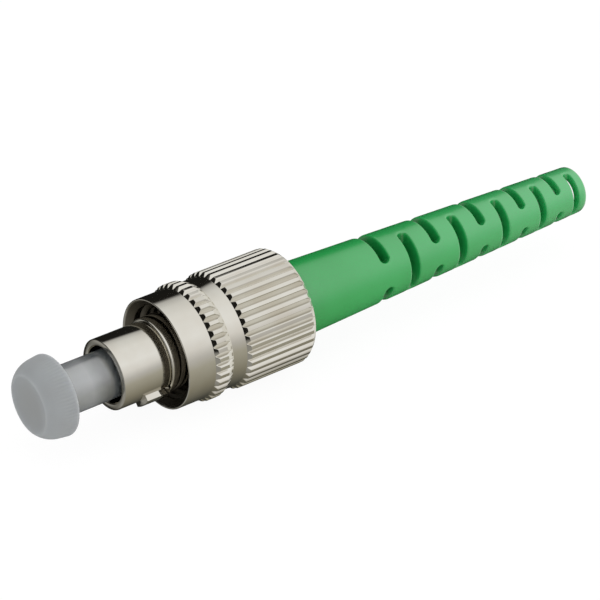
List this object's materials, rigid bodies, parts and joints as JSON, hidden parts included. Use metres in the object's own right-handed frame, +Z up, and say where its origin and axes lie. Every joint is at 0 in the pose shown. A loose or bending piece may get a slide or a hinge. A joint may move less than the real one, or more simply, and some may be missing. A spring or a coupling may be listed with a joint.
{
  "type": "fc fibre connector",
  "caption": "Fibre-optic cable plug with a keyed sleeve, a sprung ceramic ferrule, a sliding knurled coupling nut, a slotted green bend-relief boot and a pull-off dust cap.",
  "frame": {"origin": "centre of the front rim of the plug body's sleeve, on the plug's axis", "axes": "+X along the plug's axis towards the cable, -X towards the mating adapter, +Z up as it lies"},
  "size_m": [0.0567, 0.01, 0.01],
  "materials": {
    "nickel_plated_brass": "polished",
    "spring_steel": "satin",
    "zirconia": "gloss",
    "ptfe": "satin",
    "polyethylene": "satin",
    "green_elastomer": "satin"
  },
  "bodies": {
    "plug": {"plug_body": "nickel_plated_brass", "rear_body": "nickel_plated_brass", "crimp_sleeve": "nickel_plated_brass", "boot": "green_elastomer", "ferrule_spring": "spring_steel"},
    "ferrule_unit": {"ferrule": "zirconia", "ferrule_flange": "spring_steel", "guide_tube": "ptfe"},
    "cap": {"dust_cap": "polyethylene"},
    "nut_slider": {"retaining_ring": "spring_steel"},
    "nut": {"coupling_nut": "nickel_plated_brass"}
  },
  "joints": [
    {"name": "ferrule_travel", "type": "slide", "parent": "plug", "child": "ferrule_unit", "axis": [1, 0, 0], "range_m": [0, 0.0015], "stiffness_N_per_m": 3000, "springref_m": -0.0025, "deforming": ["ferrule_spring"]},
    {"name": "cap_pull", "type": "slide", "parent": "ferrule_unit", "child": "cap", "axis": [-1, 0, 0], "range_m": [0, 0.012]},
    {"name": "nut_slide", "type": "slide", "parent": "plug", "child": "nut_slider", "axis": [-1, 0, 0], "range_m": [0, 0.00485]},
    {"name": "nut_spin", "type": "hinge", "parent": "nut_slider", "child": "nut", "pos_m": [0.0113, 0, 0], "axis": [-1, 0, 0], "continuous": true}
  ]
}
